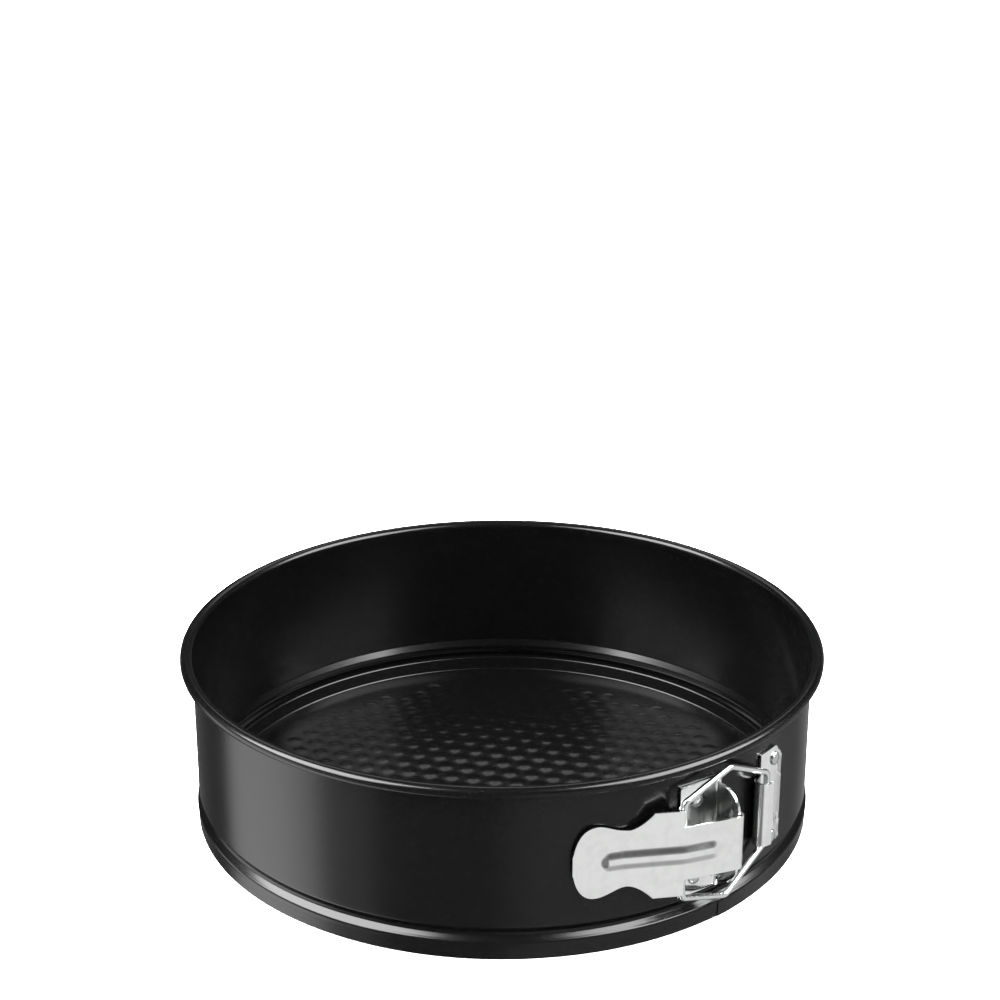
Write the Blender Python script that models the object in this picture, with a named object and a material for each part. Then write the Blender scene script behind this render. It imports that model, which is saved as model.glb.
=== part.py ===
"""Springform pan: a loose tray base and a rolled-rim band closed by an over-centre wire latch.

Frame: +Z up, origin on the pan's axis at the base's underside, -Y outward at the band's seam.
Plan angles are in degrees from -Y, growing towards +X, so the latch side of the seam is negative.
"""

import math

import bmesh
import bpy
from mathutils import Matrix, Vector

MM = 0.001

# Driving dimensions, in millimetres.
GAP = 0.3                   # clearance kept between touching solids
SHEET = 0.45                # band sheet thickness
WALL_R = 120.3              # outside of the straight wall
HEIGHT = 69.4               # top of the rolled rim
RIM_WIRE_R = 2.2            # radius of the rolled rim
RIM_R = 125.0               # outside of the rolled rim
SKIRT_R = 120.8             # outside of the skirt under the ridge
SKIRT_Z = 0.3               # lower edge of the band
RIDGE_Z = 9.3               # height of the pinched ridge that sits over the base's flange
RIDGE_R = 118.85            # outside of the ridge
BASE_FLANGE_R = 118.0       # the base's outer radius
BASE_FLANGE_Z = 6.0         # top of the base's flange
BASE_FLOOR_R = 114.3        # edge of the sunk floor
BASE_SHEET = 0.65
STEP_DEG = 5.0              # plan angle of one facet
HALF_GAP_DEG = 0.1          # half the gap between the band halves, opposite the seam
TONGUE_DEG = 20.0           # how far the latch half's rim runs on past the seam
FLAP_DEG = -4.5             # how far the keeper half runs in behind the latch half
FLAP_Z = (14.0, 62.0)
JOGGLE = SHEET + GAP        # how far the keeper half steps in at the seam
JOGGLE_DEG = 10.0           # where that step has died out

LATCH_Z = 36.9              # centre height of the latch
PLATE = 1.0                 # bracket and keeper plate thickness
LEVER_SHEET = 0.8
WIRE_R = 1.1                # bail wire radius

PIVOT = (-2.5, 130.8)       # lever's hinge line in plan: x, and distance outward (-Y)
PIVOT_CURL = 2.5            # outer radius of the lever's curl round the bracket's bar
BAIL_PIVOT = (-22.0, 124.1)
BAIL_CURL = WIRE_R + GAP + LEVER_SHEET
BAIL_BEND = (-0.3, 124.6)
BAIL_KEEPER = (22.6, 121.3)
BAIL_HALF = {"pivot": 19.0, "bend": 25.9, "keeper": 14.5}
BAIL_FILLET = {"pivot": 2.0, "bend": 4.0, "keeper": 2.6}

TONGUE_HALF = 10.5          # half height of the lever's narrow end
LEVER_HALF = 16.8           # half height of its wide part
LEVER_STEP_X = -20.0        # where the wide part begins
WAIST = (-41.8, 114.7)
LOBE = (-52.8, 110.0)
TIP = (-59.3, 107.4)
RIB_HALF = 3.0
RIB_RISE = 1.1

BRACKET_HALF = 22.0
BRACKET_SPAN = (-10.6, -0.95)
BAR = (129.6, 132.0)        # distances outward of the bar the lever hangs on
WINDOW_IN = 127.9
FLANGE_HALF = 17.5
FLANGE_CORNER = 7.0
BRACKET_RIVET_DEG = -6.7
BRACKET_RIVET_RISE = 15.5

KEEPER_HALF = 21.0
KEEPER_SPAN = (10.3, 18.1)
KEEPER_RIVET_DEG = 15.3
KEEPER_RIVET_RISE = 16.1
HOOK_HALF = 12.6
HOOK_FOLD = (19.5, 122.65)  # centre of the hook's fold in plan
HOOK_FOLD_R = 3.3
HOOK_LIP_X = 25.2

RIVET_SHANK_R = 1.2
RIVET_HOLE_R = RIVET_SHANK_R + GAP
RIVET_SIDES = 12

BASE_FACETS = round(360.0 / STEP_DEG)


def clear_scene():
    """Take away whatever the file opened with."""
    for thing in list(bpy.data.objects):
        bpy.data.objects.remove(thing, do_unlink=True)


def make_material(name, colour, roughness, metallic):
    """A plain Principled finish."""
    material = bpy.data.materials.new(name)
    material.use_nodes = True
    shader = material.node_tree.nodes["Principled BSDF"]
    shader.inputs["Base Color"].default_value = (*colour, 1.0)
    shader.inputs["Roughness"].default_value = roughness
    shader.inputs["Metallic"].default_value = metallic
    return material


def add_object(name, mesh_data, material=None):
    """Link one object and give it a finish."""
    thing = bpy.data.objects.new(name, mesh_data)
    bpy.context.scene.collection.objects.link(thing)
    if material is not None:
        mesh_data.materials.append(material)
    return thing


def finish_mesh(bm, name, smooth_deg=35.0):
    """Turn a bmesh in millimetres into a smooth-shaded mesh in metres."""
    bmesh.ops.recalc_face_normals(bm, faces=bm.faces)
    bmesh.ops.scale(bm, vec=(MM, MM, MM), verts=bm.verts)
    mesh = bpy.data.meshes.new(name)
    bm.to_mesh(mesh)
    bm.free()
    mesh.shade_smooth()
    mesh.set_sharp_from_angle(angle=math.radians(smooth_deg))
    return mesh


def polar(radius, degrees, z=0.0):
    """A point at a plan angle from -Y."""
    angle = math.radians(degrees)
    return Vector((radius * math.sin(angle), -radius * math.cos(angle), z))


def plan(point, z=0.0):
    """A point from x and distance outward."""
    return Vector((point[0], -point[1], z))


def arc(centre, radius, start_deg, end_deg, steps):
    """Points on an arc, both ends included."""
    points = []
    for index in range(steps + 1):
        angle = math.radians(start_deg + (end_deg - start_deg) * index / steps)
        points.append((centre[0] + radius * math.cos(angle), centre[1] + radius * math.sin(angle)))
    return points


def sweep(profile, start_deg, end_deg, steps):
    """A closed (radius, z) outline turned about Z between two plan angles, with both ends capped."""
    bm = bmesh.new()
    ring = [bm.verts.new(polar(radius, start_deg, z)) for radius, z in profile]
    edges = [bm.edges.new((ring[i], ring[(i + 1) % len(ring)])) for i in range(len(ring))]
    start_cap = bm.faces.new(ring)
    turned = bmesh.ops.spin(
        bm, geom=edges, cent=(0, 0, 0), axis=(0, 0, 1),
        angle=math.radians(end_deg - start_deg), steps=steps)
    end_edges = [item for item in turned["geom_last"] if isinstance(item, bmesh.types.BMEdge)]
    bmesh.ops.contextual_create(bm, geom=end_edges)
    bmesh.ops.remove_doubles(bm, verts=bm.verts, dist=0.0001)
    assert start_cap.is_valid
    return bm


def loft(sections):
    """Bridge sections of equal point count into one closed body with capped ends."""
    bm = bmesh.new()
    rings = [[bm.verts.new(point) for point in section] for section in sections]
    count = len(rings[0])
    for near, far in zip(rings, rings[1:]):
        for i in range(count):
            j = (i + 1) % count
            bm.faces.new((near[i], near[j], far[j], far[i]))
    bm.faces.new(list(reversed(rings[0])))
    bm.faces.new(rings[-1])
    return bm


def prism(outline, offset):
    """Extrude a closed outline of points by an offset vector."""
    bm = bmesh.new()
    face = bm.faces.new([bm.verts.new(point) for point in outline])
    grown = bmesh.ops.extrude_face_region(bm, geom=[face], use_keep_orig=True)
    moved = [item for item in grown["geom"] if isinstance(item, bmesh.types.BMVert)]
    bmesh.ops.translate(bm, vec=offset, verts=moved)
    return bm


def boolean(target, tool, operation):
    """Apply an exact Boolean with a tool object, then drop the tool."""
    modifier = target.modifiers.new("cut", "BOOLEAN")
    modifier.object = tool
    modifier.operation = operation
    modifier.solver = "EXACT"
    graph = bpy.context.evaluated_depsgraph_get()
    result = bpy.data.meshes.new_from_object(target.evaluated_get(graph))
    target.modifiers.remove(modifier)
    target.data = result
    bpy.data.objects.remove(tool, do_unlink=True)


def ring_cutter(radii, heights, start_deg, end_deg):
    """A block of revolution used to trim the band."""
    outline = [(radii[0], heights[0]), (radii[1], heights[0]), (radii[1], heights[1]), (radii[0], heights[1])]
    steps = max(1, math.ceil((end_deg - start_deg) / STEP_DEG))
    return add_object("cutter", finish_mesh(sweep(outline, start_deg, end_deg, steps), "cutter"))


def drill(target, degrees, z):
    """Cut a rivet hole straight through a part along the pan's radius."""
    bm = bmesh.new()
    bmesh.ops.create_cone(
        bm, cap_ends=True, segments=RIVET_SIDES, radius1=RIVET_HOLE_R, radius2=RIVET_HOLE_R, depth=12.0)
    place = Matrix.Translation(polar(WALL_R, degrees, z)) @ Matrix.Rotation(
        math.radians(degrees), 4, "Z") @ Matrix.Rotation(math.radians(90.0), 4, "X")
    bmesh.ops.transform(bm, matrix=place, verts=bm.verts)
    boolean(target, add_object("cutter", finish_mesh(bm, "cutter")), "DIFFERENCE")


def band_profile():
    """The band's section: skirt, ridge, wall and rolled rim, as a closed outline."""
    rim_centre = (RIM_R - RIM_WIRE_R, HEIGHT - RIM_WIRE_R)
    outside = [
        (SKIRT_R, SKIRT_Z),
        (SKIRT_R + 0.1, 5.4),
        (SKIRT_R + 0.2, 6.5),
        (SKIRT_R - 0.3, 7.4),
        (RIDGE_R, RIDGE_Z),
        (RIDGE_R + 0.6, 10.9),
        (WALL_R, 12.4),
        (WALL_R, HEIGHT - 2.2 * RIM_WIRE_R),
    ]
    rim = arc(rim_centre, RIM_WIRE_R, -135.0, 180.0, 7)
    inside = [
        (WALL_R - SHEET, HEIGHT - 1.6 * RIM_WIRE_R),
        (WALL_R - SHEET, 12.5),
        (RIDGE_R + 0.05, 11.0),
        (RIDGE_R - 0.5, RIDGE_Z),
        (SKIRT_R - 0.85, 7.1),
        (SKIRT_R - 0.5, 6.2),
        (SKIRT_R - 0.5, SKIRT_Z),
    ]
    return outside + rim + inside


def joggle(bm):
    """Step the keeper half inward near the seam, above the ridge only."""
    for vert in bm.verts:
        degrees = math.degrees(math.atan2(vert.co.x, -vert.co.y))
        along = min(1.0, max(0.0, 1.0 - degrees / JOGGLE_DEG))
        above = min(1.0, max(0.0, (vert.co.z - RIDGE_Z) / (12.4 - RIDGE_Z)))
        if degrees < -90.0:
            along = 0.0
        radius = math.hypot(vert.co.x, vert.co.y)
        scale = (radius - JOGGLE * along * above) / radius
        vert.co.x *= scale
        vert.co.y *= scale


def build_base(material):
    """The loose tray base: sunk floor, upright side and the flange under the ridge."""
    under = BASE_FLANGE_Z - BASE_SHEET
    outline = [
        (0.0, 0.0),
        (BASE_FLOOR_R + 0.3, 0.0),
        (BASE_FLOOR_R + 2.1, under),
        (BASE_FLANGE_R, under),
        (BASE_FLANGE_R, BASE_FLANGE_Z),
        (BASE_FLOOR_R + 1.6, BASE_FLANGE_Z),
        (BASE_FLOOR_R, BASE_SHEET),
        (0.0, BASE_SHEET),
    ]
    bm = bmesh.new()
    points = [bm.verts.new(polar(radius, 0.0, z)) for radius, z in outline]
    edges = [bm.edges.new(pair) for pair in zip(points, points[1:])]
    bmesh.ops.spin(
        bm, geom=edges, cent=(0, 0, 0), axis=(0, 0, 1), angle=2.0 * math.pi, steps=BASE_FACETS)
    bmesh.ops.remove_doubles(bm, verts=bm.verts, dist=0.001)
    return add_object("base_plate", finish_mesh(bm, "base_plate"), material)


def build_band_left(material):
    """The latch half of the band, whose rim runs on over the seam as a tongue."""
    start = -180.0 + HALF_GAP_DEG
    steps = round((TONGUE_DEG - start) / STEP_DEG)
    half = add_object("band_left", finish_mesh(sweep(band_profile(), start, TONGUE_DEG, steps), "band_left"),
                      material)
    under_rim = HEIGHT - 2.0 * RIM_WIRE_R - 0.1
    boolean(half, ring_cutter((105.0, 135.0), (-5.0, under_rim), 0.0, TONGUE_DEG + 5.0), "DIFFERENCE")
    for side in (-1.0, 1.0):
        drill(half, BRACKET_RIVET_DEG, LATCH_Z + side * BRACKET_RIVET_RISE)
    return half


def build_band_right(material):
    """The keeper half of the band, which tucks in behind the latch half at the seam."""
    end = 180.0 - HALF_GAP_DEG
    steps = round((end - FLAP_DEG) / STEP_DEG)
    bm = sweep(band_profile(), FLAP_DEG, end, steps)
    joggle(bm)
    half = add_object("band_right", finish_mesh(bm, "band_right"), material)
    edge = 0.15
    under_rim = HEIGHT - 2.0 * RIM_WIRE_R - 0.1 - GAP - 0.2
    cuts = (
        ((under_rim, 80.0), TONGUE_DEG + edge),
        ((FLAP_Z[1], 80.0), edge),
        ((-5.0, FLAP_Z[0]), edge),
    )
    for heights, end_deg in cuts:
        boolean(half, ring_cutter((105.0, 135.0), heights, FLAP_DEG - 3.0, end_deg), "DIFFERENCE")
    for side in (-1.0, 1.0):
        drill(half, KEEPER_RIVET_DEG, LATCH_Z + side * KEEPER_RIVET_RISE)
    return half


def plate_on_wall(name, span, half, material=None):
    """A curved plate lying on the outside of the wall."""
    inner = WALL_R + GAP
    outline = [
        (inner, LATCH_Z - half),
        (inner + PLATE, LATCH_Z - half),
        (inner + PLATE, LATCH_Z + half),
        (inner, LATCH_Z + half),
    ]
    steps = max(2, round((span[1] - span[0]) / (STEP_DEG / 2.0)))
    return add_object(name, finish_mesh(sweep(outline, *span, steps), name), material)


def build_bracket(material):
    """The latch bracket: a riveted plate with a D-shaped ear whose outer bar carries the lever."""
    bracket = plate_on_wall("latch_bracket", BRACKET_SPAN, BRACKET_HALF, material)
    root = WALL_R + GAP + 0.4
    corner_out = BAR[1] - FLANGE_CORNER
    corner_up = FLANGE_HALF - FLANGE_CORNER
    outer = arc((corner_out, corner_up), FLANGE_CORNER, 90.0, 0.0, 6)
    outline = [(root, -FLANGE_HALF)] + [(root, FLANGE_HALF)] + outer
    outline += [(out, -up) for out, up in reversed(outer)]
    left = PIVOT[0] - PLATE / 2.0
    points = [Vector((left, -out, LATCH_Z + up)) for out, up in outline]
    ear = add_object("ear", finish_mesh(prism(points, Vector((PLATE, 0, 0))), "ear"))
    boolean(bracket, ear, "UNION")
    reach = TONGUE_HALF + 0.4
    window = [(WINDOW_IN, -reach), (WINDOW_IN, reach), (BAR[0], reach), (BAR[0], -reach)]
    points = [Vector((left - 1.0, -out, LATCH_Z + up)) for out, up in window]
    cutter = add_object("cutter", finish_mesh(prism(points, Vector((PLATE + 2.0, 0, 0))), "cutter"))
    boolean(bracket, cutter, "DIFFERENCE")
    for side in (-1.0, 1.0):
        drill(bracket, BRACKET_RIVET_DEG, LATCH_Z + side * BRACKET_RIVET_RISE)
    return bracket


def sheet_section(point, normal, half, thickness, rib=0.0):
    """One section across the lever: a flat strip with an optional raised rib on its outer face."""
    outer = Vector(point)
    inner = outer - Vector(normal) * thickness
    crest = outer + Vector(normal) * rib
    flank = RIB_HALF * 0.55
    rows = (
        (inner, -half), (outer, -half), (outer, -RIB_HALF), (crest, -flank),
        (crest, flank), (outer, RIB_HALF), (outer, half), (inner, half),
    )
    return [plan(place, LATCH_Z + up) for place, up in rows]


def curl_sections(centre, radius, start_deg, end_deg, half, steps):
    """Sections of sheet curled round a hinge line, from one plan direction to another."""
    sections = []
    for index in range(steps + 1):
        angle = math.radians(start_deg + (end_deg - start_deg) * index / steps)
        normal = Vector((math.cos(angle), math.sin(angle)))
        sections.append(sheet_section(Vector(centre) + normal * radius, normal, half, LEVER_SHEET))
    return sections


def tangent_angle(centre, radius, point):
    """Direction from a curl's centre to where a sheet coming from a point touches its top."""
    offset = Vector(point) - Vector(centre)
    return math.degrees(math.atan2(offset.y, offset.x) - math.acos(radius / offset.length))


def build_lever(material):
    """The pressed lever: narrow tongue curled on the bracket's bar, wide part, waist, lobe and tip."""
    tail_slope = math.atan2(WAIST[1] - BAIL_PIVOT[1] - BAIL_CURL, WAIST[0] - BAIL_PIVOT[0] + BAIL_CURL)
    ear_top = math.degrees(tail_slope) - 90.0 + 360.0
    bend = Vector(BAIL_PIVOT) + Vector(
        (math.cos(math.radians(ear_top)), math.sin(math.radians(ear_top)))) * BAIL_CURL
    touch = tangent_angle(PIVOT, PIVOT_CURL, bend)
    curl = curl_sections(PIVOT, PIVOT_CURL, touch - 200.0, touch, TONGUE_HALF, 10)
    touch_normal = Vector((math.cos(math.radians(touch)), math.sin(math.radians(touch))))
    touch_point = Vector(PIVOT) + touch_normal * PIVOT_CURL
    share = (LEVER_STEP_X - touch_point.x) / (bend.x - touch_point.x)
    step_point = touch_point.lerp(bend, share)

    def flat(point, towards, half, rib=1.0):
        direction = (Vector(towards) - Vector(point)).normalized()
        normal = Vector((direction.y, -direction.x))
        return sheet_section(point, normal, half, LEVER_SHEET, rib * RIB_RISE)

    tongue = [
        flat(touch_point.lerp(step_point, 0.30), bend, TONGUE_HALF, 0.0),
        flat(touch_point.lerp(step_point, 0.45), bend, TONGUE_HALF),
        flat(step_point, bend, TONGUE_HALF),
    ]
    waist, lobe, tip = Vector(WAIST), Vector(LOBE), Vector(TIP)
    outline = (
        (step_point.lerp(bend, 0.04), bend, LEVER_HALF, 1.0),
        (bend, waist, LEVER_HALF, 1.0),
        (bend.lerp(waist, 0.45), waist, LEVER_HALF, 1.0),
        (bend.lerp(waist, 0.62), waist, LEVER_HALF - 3.0, 1.0),
        (bend.lerp(waist, 0.80), waist, LEVER_HALF - 5.2, 1.0),
        (waist, lobe, 11.0, 1.0),
        (waist.lerp(lobe, 0.40), lobe, 12.0, 0.8),
        (waist.lerp(lobe, 0.65), lobe, 13.2, 0.0),
        (lobe, tip, 14.0, 0.0),
        (lobe.lerp(tip, 0.40), tip, 12.8, 0.0),
        (lobe.lerp(tip, 0.75), tip, 9.5, 0.0),
        (tip, tip + (tip - lobe), 4.0, 0.0),
    )
    tail = [flat(point, towards, half, rib) for point, towards, half, rib in outline]
    lever = add_object("lever", finish_mesh(loft(curl + tongue + tail), "lever"), material)
    for side in (-1.0, 1.0):
        boolean(lever, build_ear(side, ear_top), "UNION")
    drop_origin(lever, plan(PIVOT, LATCH_Z))
    return lever


def build_ear(side, ear_top):
    """One curled ear at the lever's shoulder, which holds the bail wire."""
    inner_edge = TONGUE_HALF + 0.8
    middle = (LEVER_HALF + inner_edge) / 2.0
    half = (LEVER_HALF - inner_edge) / 2.0
    sections = []
    steps = 10
    for index in range(steps + 1):
        angle = math.radians(ear_top + 20.0 - 235.0 * index / steps)
        normal = Vector((math.cos(angle), math.sin(angle)))
        outer = Vector(BAIL_PIVOT) + normal * BAIL_CURL
        inner = outer - normal * LEVER_SHEET
        rows = ((inner, -half), (outer, -half), (outer, half), (inner, half))
        sections.append([plan(place, LATCH_Z + side * middle + up) for place, up in rows])
    return add_object("ear", finish_mesh(loft(sections), "ear"))


def drop_origin(thing, point):
    """Put an object's origin on its joint axis without moving its shape."""
    place = point * MM
    thing.data.transform(Matrix.Translation(-place))
    thing.location = place


def rounded_loop(corners, radii, steps):
    """A closed path through corners, each rounded by an arc that is tangent to both sides."""
    points = []
    count = len(corners)
    for index, corner in enumerate(corners):
        before = (corners[index - 1] - corner).normalized()
        after = (corners[(index + 1) % count] - corner).normalized()
        half_angle = before.angle(after) / 2.0
        reach = radii[index] / math.tan(half_angle)
        centre = corner + (before + after).normalized() * (radii[index] / math.sin(half_angle))
        first = corner + before * reach - centre
        last = corner + after * reach - centre
        for step in range(steps + 1):
            points.append(centre + first.slerp(last, step / steps).normalized() * radii[index])
    return points


def build_bail(material):
    """The closed six-sided wire loop between the lever's ears and the keeper's hook."""
    order = (("pivot", BAIL_PIVOT), ("bend", BAIL_BEND), ("keeper", BAIL_KEEPER))
    rise = [(kind, place, 1.0) for kind, place in order]
    fall = [(kind, place, -1.0) for kind, place in reversed(order)]
    corners = [plan(place, LATCH_Z + side * BAIL_HALF[kind]) for kind, place, side in rise + fall]
    radii = [BAIL_FILLET[kind] for kind, _, _ in rise + fall]
    path = rounded_loop(corners, radii, 4)
    curve = bpy.data.curves.new("bail", "CURVE")
    curve.dimensions = "3D"
    curve.bevel_depth = WIRE_R * MM
    curve.bevel_resolution = 3
    curve.use_fill_caps = True
    spline = curve.splines.new("POLY")
    spline.points.add(len(path) - 1)
    origin = plan(BAIL_PIVOT, LATCH_Z)
    for point, place in zip(spline.points, path):
        point.co = (*((place - origin) * MM), 1.0)
    spline.use_cyclic_u = True
    curve.materials.append(material)
    bail = bpy.data.objects.new("bail", curve)
    bpy.context.scene.collection.objects.link(bail)
    bail.location = origin * MM
    return bail


def build_keeper(material):
    """The keeper: a riveted plate folded back over itself as the hook that the wire pulls on."""
    keeper = plate_on_wall("keeper", KEEPER_SPAN, KEEPER_HALF, material)
    corner = 5.0
    right = polar(WALL_R, KEEPER_SPAN[1], LATCH_Z + KEEPER_HALF)
    trim = [(right.x - corner, 1.0), (right.x + 1.0, 1.0), (right.x + 1.0, -corner - 2.0), (right.x, -corner)]
    points = [Vector((x, right.y - 8.0, right.z + up)) for x, up in trim]
    cutter = add_object("cutter", finish_mesh(prism(points, Vector((0, 16.0, 0))), "cutter"))
    boolean(keeper, cutter, "DIFFERENCE")

    seat = polar(WALL_R + GAP + PLATE, KEEPER_SPAN[0] + 1.0)
    stations = [(Vector((seat.x, -seat.y)), Vector((0.18, 0.98)).normalized())]
    for index in range(9):
        angle = math.radians(-100.0 - 170.0 * index / 8.0)
        outward = Vector((math.cos(angle), math.sin(angle)))
        stations.append((Vector(HOOK_FOLD) + outward * (HOOK_FOLD_R - PLATE), -outward))
    lip_out = Vector(HOOK_FOLD) + Vector((0.0, HOOK_FOLD_R - PLATE))
    stations.append((Vector((HOOK_LIP_X, lip_out.y)), Vector((0.0, -1.0))))
    sections = []
    for inner, normal in stations:
        outer = inner - normal * PLATE
        rows = ((inner, -HOOK_HALF), (outer, -HOOK_HALF), (outer, HOOK_HALF), (inner, HOOK_HALF))
        sections.append([plan(place, LATCH_Z + up) for place, up in rows])
    boolean(keeper, add_object("hook", finish_mesh(loft(sections), "hook")), "UNION")
    for side in (-1.0, 1.0):
        drill(keeper, KEEPER_RIVET_DEG, LATCH_Z + side * KEEPER_RIVET_RISE)
    return keeper


def build_rivet(name, degrees, z, material):
    """A domed rivet through a plate and the band, with its closed head inside."""
    head = PLATE + 2.0 * GAP
    tail = -SHEET - GAP
    outline = [
        (0.0, head + 1.35), (1.2, head + 1.05), (1.9, head + 0.5), (2.2, head),
        (RIVET_SHANK_R, head), (RIVET_SHANK_R, tail),
        (2.0, tail), (1.6, tail - 0.7), (0.0, tail - 0.75),
    ]
    bm = bmesh.new()
    points = [bm.verts.new((radius, 0.0, height)) for radius, height in outline]
    edges = [bm.edges.new(pair) for pair in zip(points, points[1:])]
    bmesh.ops.spin(
        bm, geom=edges, cent=(0, 0, 0), axis=(0, 0, 1), angle=2.0 * math.pi, steps=RIVET_SIDES)
    bmesh.ops.remove_doubles(bm, verts=bm.verts, dist=0.001)
    place = Matrix.Translation(polar(WALL_R, degrees, z)) @ Matrix.Rotation(
        math.radians(degrees), 4, "Z") @ Matrix.Rotation(math.radians(90.0), 4, "X")
    bmesh.ops.transform(bm, matrix=place, verts=bm.verts)
    return add_object(name, finish_mesh(bm, name), material)


def main():
    """Build every piece in the row frame."""
    clear_scene()
    coating = make_material("nonstick_black", (0.012, 0.012, 0.013), 0.32, 0.0)
    tray = make_material("nonstick_tray", (0.014, 0.014, 0.015), 0.36, 0.0)
    chrome = make_material("bright_steel", (0.78, 0.79, 0.80), 0.14, 1.0)
    wire = make_material("bright_wire", (0.74, 0.75, 0.77), 0.16, 1.0)
    rivet = make_material("rivet_steel", (0.55, 0.56, 0.58), 0.26, 1.0)
    build_base(tray)
    build_band_left(coating)
    build_band_right(coating)
    build_bracket(chrome)
    build_lever(chrome)
    build_bail(wire)
    build_keeper(chrome)
    for label, side in (("top", 1.0), ("bottom", -1.0)):
        build_rivet(f"bracket_rivet_{label}", BRACKET_RIVET_DEG, LATCH_Z + side * BRACKET_RIVET_RISE, rivet)
        build_rivet(f"keeper_rivet_{label}", KEEPER_RIVET_DEG, LATCH_Z + side * KEEPER_RIVET_RISE, rivet)


main()
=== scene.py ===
"""Looks of the springform pan: a coated tray base, a coated springy band and a bright wire latch.

Lengths are in millimetres until a mesh is finished. Plan angles are degrees from -Y towards +X.
"""

from __future__ import annotations

import logging
import math
from dataclasses import dataclass, field
from enum import Enum
from typing import Callable, Sequence

import bpy
from mathutils import Matrix, Vector
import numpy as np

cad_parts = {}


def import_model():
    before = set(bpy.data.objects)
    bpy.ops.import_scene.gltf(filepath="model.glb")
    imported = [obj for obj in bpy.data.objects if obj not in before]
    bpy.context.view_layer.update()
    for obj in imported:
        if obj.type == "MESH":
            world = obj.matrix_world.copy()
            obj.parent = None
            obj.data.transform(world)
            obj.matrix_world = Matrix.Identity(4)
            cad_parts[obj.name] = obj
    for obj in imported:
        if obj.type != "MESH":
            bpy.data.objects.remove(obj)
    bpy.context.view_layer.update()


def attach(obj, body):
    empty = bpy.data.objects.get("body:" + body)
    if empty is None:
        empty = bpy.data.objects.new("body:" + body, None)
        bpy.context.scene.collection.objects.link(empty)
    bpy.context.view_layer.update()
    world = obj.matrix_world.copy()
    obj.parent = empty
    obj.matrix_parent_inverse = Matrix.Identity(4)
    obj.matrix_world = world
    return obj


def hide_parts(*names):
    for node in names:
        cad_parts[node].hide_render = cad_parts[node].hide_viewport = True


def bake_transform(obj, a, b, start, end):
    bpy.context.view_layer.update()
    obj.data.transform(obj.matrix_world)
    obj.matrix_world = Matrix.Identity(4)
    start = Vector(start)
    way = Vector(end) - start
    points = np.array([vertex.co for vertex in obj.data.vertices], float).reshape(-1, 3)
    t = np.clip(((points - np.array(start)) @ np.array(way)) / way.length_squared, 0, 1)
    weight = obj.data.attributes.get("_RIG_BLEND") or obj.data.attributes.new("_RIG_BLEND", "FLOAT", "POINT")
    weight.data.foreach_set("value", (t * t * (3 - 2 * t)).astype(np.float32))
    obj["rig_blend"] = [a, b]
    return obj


MM = 0.001
LATCH_Z = 36.9
WALL_R = 120.3
SEAT_GAP = 0.15
LOG = logging.getLogger("springform")


def polar(radius: float, degrees: float, z: float = 0.0) -> Vector:
    """A point at a plan angle, in millimetres."""
    angle = math.radians(degrees)
    return Vector((radius * math.sin(angle), -radius * math.cos(angle), z))


def smooth(low: float, high: float, value: float) -> float:
    """A soft step from 0 at low to 1 at high."""
    share = min(1.0, max(0.0, (value - low) / (high - low)))
    return share * share * (3.0 - 2.0 * share)


def arc(centre: Sequence[float], radii: Sequence[float], start: float, end: float,
        steps: int) -> list[Vector]:
    """Points on an elliptical arc, both ends included.

    Args:
        centre: The arc's centre.
        radii: Its half width and half height.
        start: First angle in degrees.
        end: Last angle in degrees.
        steps: Number of chords.

    Returns:
        The points, in order.
    """
    points = []
    for index in range(steps + 1):
        angle = math.radians(start + (end - start) * index / steps)
        across, up = radii[0] * math.cos(angle), radii[1] * math.sin(angle)
        points.append(Vector((centre[0] + across, centre[1] + up)))
    return points


def rounded(points: Sequence[Vector], radius: float, steps: int = 5) -> list[Vector]:
    """Round the inner corners of an open path.

    Args:
        points: The path's corners.
        radius: Fillet radius, cut down where a side is short.
        steps: Chords in each fillet.

    Returns:
        The path with its corners rounded.
    """
    path = [points[0]]
    for before, corner, after in zip(points, points[1:], points[2:]):
        back, ahead = (before - corner), (after - corner)
        half = back.angle(ahead) / 2.0
        if half > math.radians(89.0):
            path.append(corner)
            continue
        reach = min(radius / math.tan(half), 0.48 * back.length, 0.48 * ahead.length)
        first = corner + back.normalized() * reach
        last = corner + ahead.normalized() * reach
        for index in range(steps + 1):
            share = index / steps
            path.append(first.lerp(corner, share).lerp(corner.lerp(last, share), share))
    path.append(points[-1])
    return path


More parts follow.
